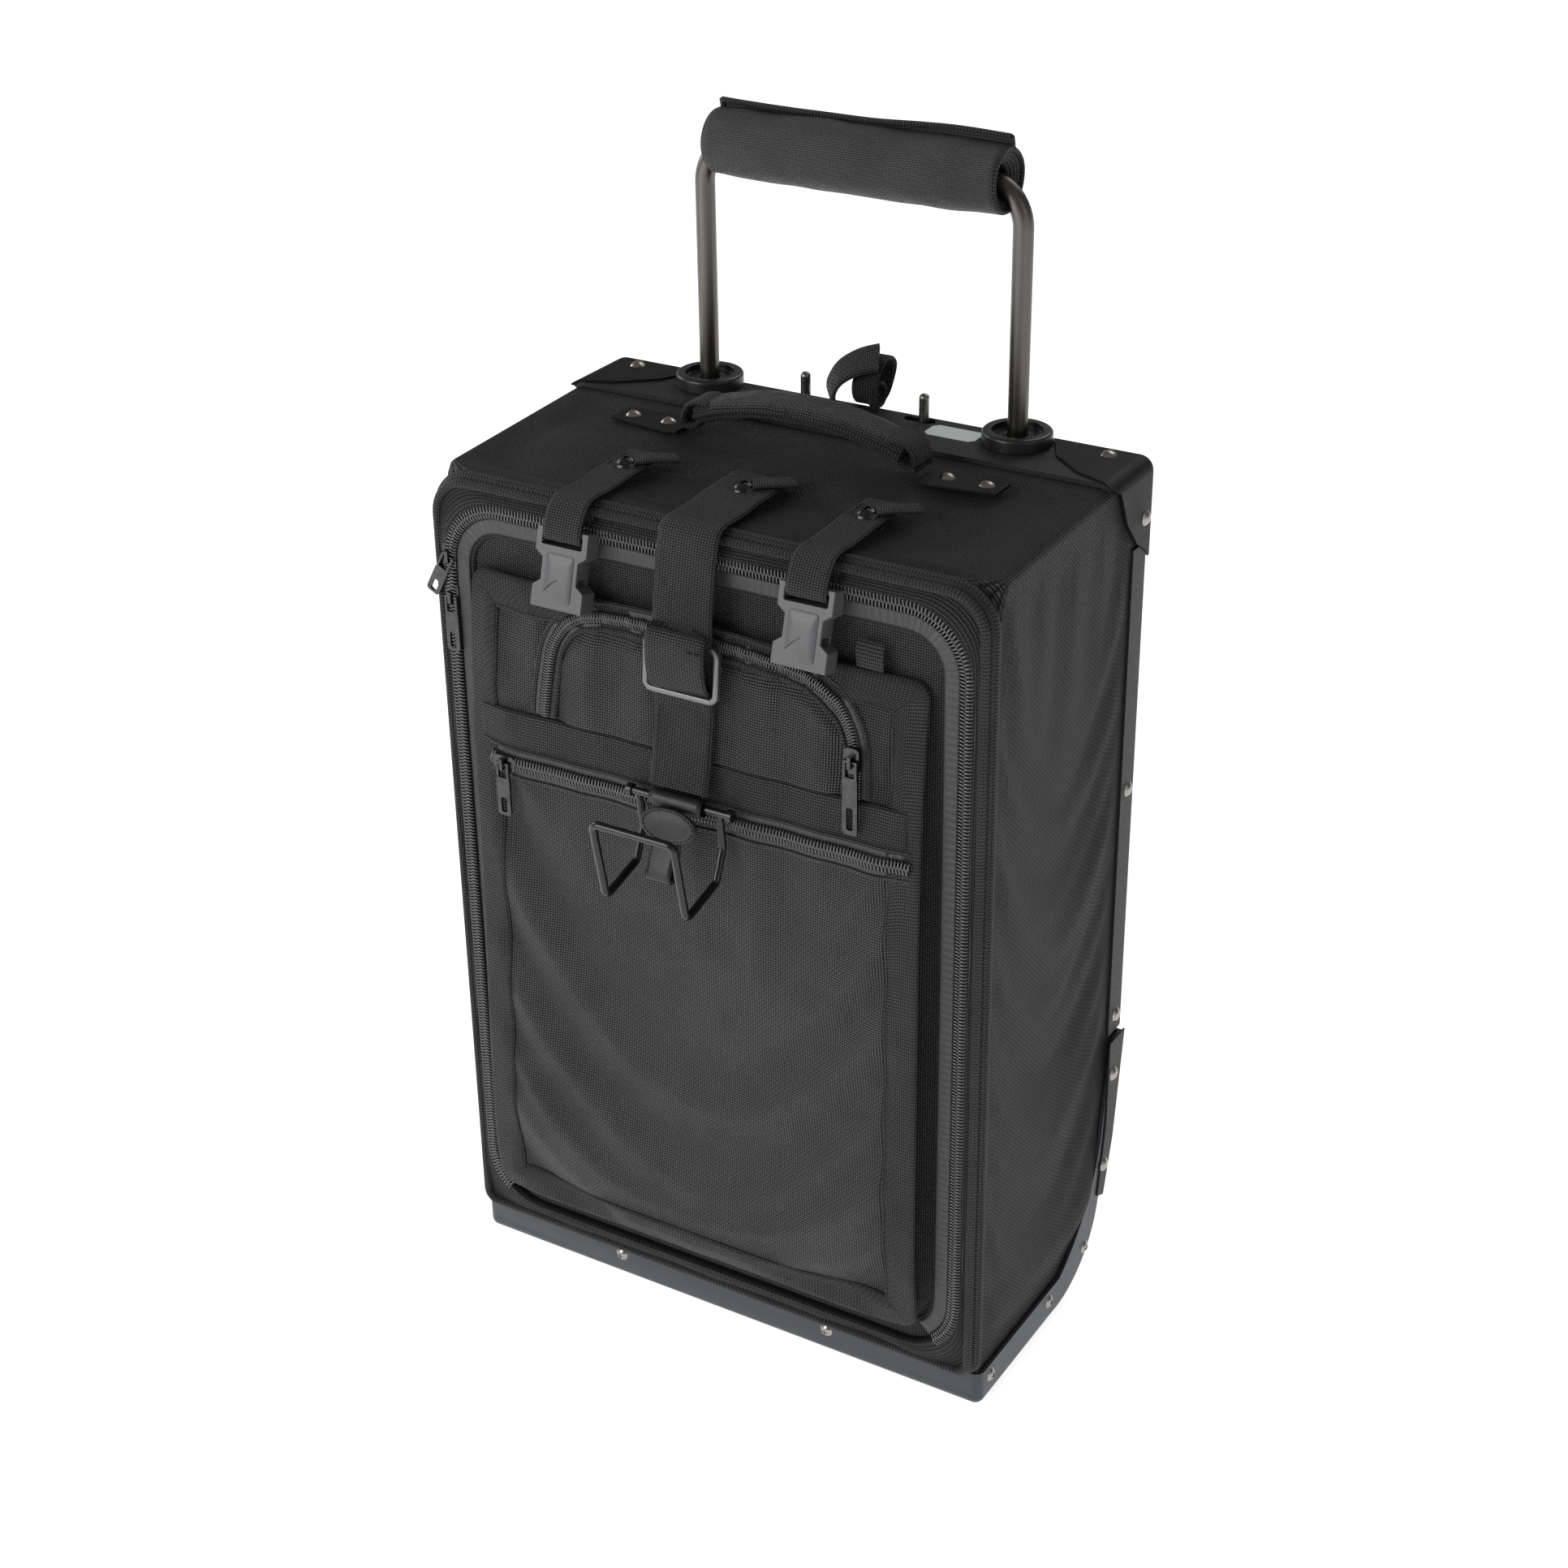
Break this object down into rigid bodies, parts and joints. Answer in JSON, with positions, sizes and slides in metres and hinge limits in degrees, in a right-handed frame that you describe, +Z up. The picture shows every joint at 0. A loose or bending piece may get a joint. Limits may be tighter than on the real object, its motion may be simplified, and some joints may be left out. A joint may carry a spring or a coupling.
{
  "type": "rolling flight case",
  "caption": "Upright rolling flight case of black fabric on a metal frame and plastic base pan, with a zipped front panel, pull-out handle, hook strap and wheels.",
  "frame": {"origin": "on the floor, under the middle of the whole object's box", "axes": "+Z up, +Y from the zipped front towards the frame and wheels at the back, +X to the right seen from the front"},
  "size_m": [0.3632, 0.2793, 0.709],
  "materials": {
    "ballistic_fabric": "matt black woven nylon",
    "webbing": "matt black ribbed nylon webbing",
    "zipper_tape": "black coil zipper",
    "base_plastic": "satin blue-black plastic",
    "frame_coating": "wrinkled charcoal powder coat",
    "guard_coating": "smooth satin black",
    "tube_metal": "dark satin anodised",
    "grommet_plastic": "semi-gloss black",
    "fastener_metal": "black nickel plate",
    "latch_steel": "black nickel plate",
    "buckle_plastic": "satin black moulding",
    "glide_metal": "satin grey-black",
    "leather": "black leather, stitched",
    "hook_gloss": "gloss black",
    "grip_rubber": "closed-cell foam",
    "slider_metal": "gloss black",
    "tyre": "black urethane",
    "hub_plastic": "dark grey moulding",
    "plain_label": "plain pale sticker"
  },
  "bodies": {
    "case": {"back_panel": "ballistic_fabric", "base_pan": "base_plastic", "body_tub": "ballistic_fabric", "body_zipper_half": "zipper_tape", "cable_strap": "webbing", "carry_plates": "guard_coating", "corner_guard_left": "guard_coating", "corner_guard_right": "guard_coating", "cup_washers": "fastener_metal", "front_feet": "base_plastic", "front_gusset": "ballistic_fabric", "grommet_screws": "fastener_metal", "grommets": "grommet_plastic", "guide_tubes": "tube_metal", "label_plate": "plain_label", "latch_channel": "frame_coating", "pan_screws": "fastener_metal", "rivets": "fastener_metal", "side_rail_left": "frame_coating", "side_rail_right": "frame_coating", "slider_main_upper": "slider_metal", "strap_anchors": "webbing", "strap_screws": "fastener_metal", "top_rail": "frame_coating", "wheel_axles": "fastener_metal", "wheel_brackets": "frame_coating", "wheel_housings": "base_plastic"},
    "lid": {"lid_panel": "ballistic_fabric", "lid_zipper_half": "zipper_tape", "front_pocket": "ballistic_fabric", "pocket_band": "webbing", "arch_pocket": "ballistic_fabric", "pocket_zippers": "zipper_tape"},
    "handle": {"handle_tube": "tube_metal", "rod_glides": "grommet_plastic", "grip_foam": "grip_rubber", "grip_wrap": "ballistic_fabric"},
    "latch_left": {"release_pin_left": "latch_steel"},
    "latch_right": {"release_pin_right": "latch_steel"},
    "wheel_left": {"tyre_left": "tyre", "wheel_hub_left": "hub_plastic"},
    "wheel_right": {"tyre_right": "tyre", "wheel_hub_right": "hub_plastic"},
    "carry": {"carry_handle": "ballistic_fabric"},
    "strap_left": {"strap_web_left": "webbing", "buckle_left": "buckle_plastic"},
    "strap_right": {"strap_web_right": "webbing", "buckle_right": "buckle_plastic"},
    "strap_centre": {"strap_web_centre": "webbing", "tri_glide": "glide_metal", "leather_sleeve": "leather", "leather_tabs": "leather"},
    "hook": {"hook_wire": "hook_gloss"},
    "main_slider": {"slider_main_lower": "slider_metal"},
    "main_pull": {"pull_main_lower": "slider_metal"},
    "upper_pull": {"pull_main_upper": "slider_metal"},
    "pocket_slider": {"slider_pocket": "slider_metal"},
    "pocket_pull": {"pull_pocket": "slider_metal"},
    "arch_slider": {"slider_arch": "slider_metal"},
    "arch_pull": {"pull_arch": "slider_metal"}
  },
  "joints": [
    {"name": "lid_fold", "type": "hinge", "parent": "case", "child": "lid", "pos_m": [0, -0.0664, 0.039], "axis": [1, 0, 0], "range_deg": [0, 90]},
    {"name": "handle_slide", "type": "slide", "parent": "case", "child": "handle", "axis": [0, 0, 1], "range_m": [-0.09, 0.19]},
    {"name": "latch_left_slide", "type": "slide", "parent": "case", "child": "latch_left", "axis": [1, 0, 0], "range_m": [0, 0.008], "stiffness_N_per_m": 400, "springref_m": -0.004},
    {"name": "latch_right_slide", "type": "slide", "parent": "case", "child": "latch_right", "axis": [-1, 0, 0], "range_m": [0, 0.008], "stiffness_N_per_m": 400, "springref_m": -0.004},
    {"name": "wheel_left_spin", "type": "hinge", "parent": "case", "child": "wheel_left", "pos_m": [-0.141, 0.1036, 0.036], "axis": [1, 0, 0], "continuous": true},
    {"name": "wheel_right_spin", "type": "hinge", "parent": "case", "child": "wheel_right", "pos_m": [0.141, 0.1036, 0.036], "axis": [1, 0, 0], "continuous": true},
    {"name": "carry_handle_tilt", "type": "hinge", "parent": "case", "child": "carry", "pos_m": [0, 0.0456, 0.5415], "axis": [1, 0, 0], "range_deg": [-30, 30]},
    {"name": "strap_left_swing", "type": "hinge", "parent": "case", "child": "strap_left", "pos_m": [-0.0762, -0.0709, 0.5296], "axis": [1, 0, 0], "range_deg": [-95, 0]},
    {"name": "strap_right_swing", "type": "hinge", "parent": "case", "child": "strap_right", "pos_m": [0.0762, -0.0709, 0.5296], "axis": [1, 0, 0], "range_deg": [-95, 0]},
    {"name": "strap_centre_swing", "type": "hinge", "parent": "case", "child": "strap_centre", "pos_m": [0, -0.0709, 0.5296], "axis": [1, 0, 0], "range_deg": [-95, 0]},
    {"name": "hook_swing", "type": "hinge", "parent": "strap_centre", "child": "hook", "pos_m": [0, -0.0919, 0.376], "axis": [1, 0, 0], "range_deg": [-75, 0]},
    {"name": "main_slider_run", "type": "slide", "parent": "case", "child": "main_slider", "axis": [0, 0, 1], "range_m": [-0.37, 0]},
    {"name": "main_pull_swing", "type": "hinge", "parent": "main_slider", "child": "main_pull", "pos_m": [-0.1633, -0.0719, 0.455], "axis": [1, 0, 0], "range_deg": [-100, 0]},
    {"name": "upper_pull_swing", "type": "hinge", "parent": "case", "child": "upper_pull", "pos_m": [-0.1633, -0.0719, 0.48], "axis": [0.8829, 0, -0.4695], "range_deg": [-100, 0]},
    {"name": "pocket_slider_run", "type": "slide", "parent": "lid", "child": "pocket_slider", "axis": [1, 0, 0], "range_m": [0, 0.24]},
    {"name": "pocket_pull_swing", "type": "hinge", "parent": "pocket_slider", "child": "pocket_pull", "pos_m": [-0.122, -0.0883, 0.367], "axis": [1, 0, 0], "range_deg": [-100, 0]},
    {"name": "arch_slider_run", "type": "slide", "parent": "lid", "child": "arch_slider", "axis": [0, 0.0748, 0.9972], "range_m": [-0.012, 0.008]},
    {"name": "arch_pull_swing", "type": "hinge", "parent": "arch_slider", "child": "arch_pull", "pos_m": [0.104, -0.0856, 0.424], "axis": [1, 0, 0], "range_deg": [-100, 0]}
  ]
}
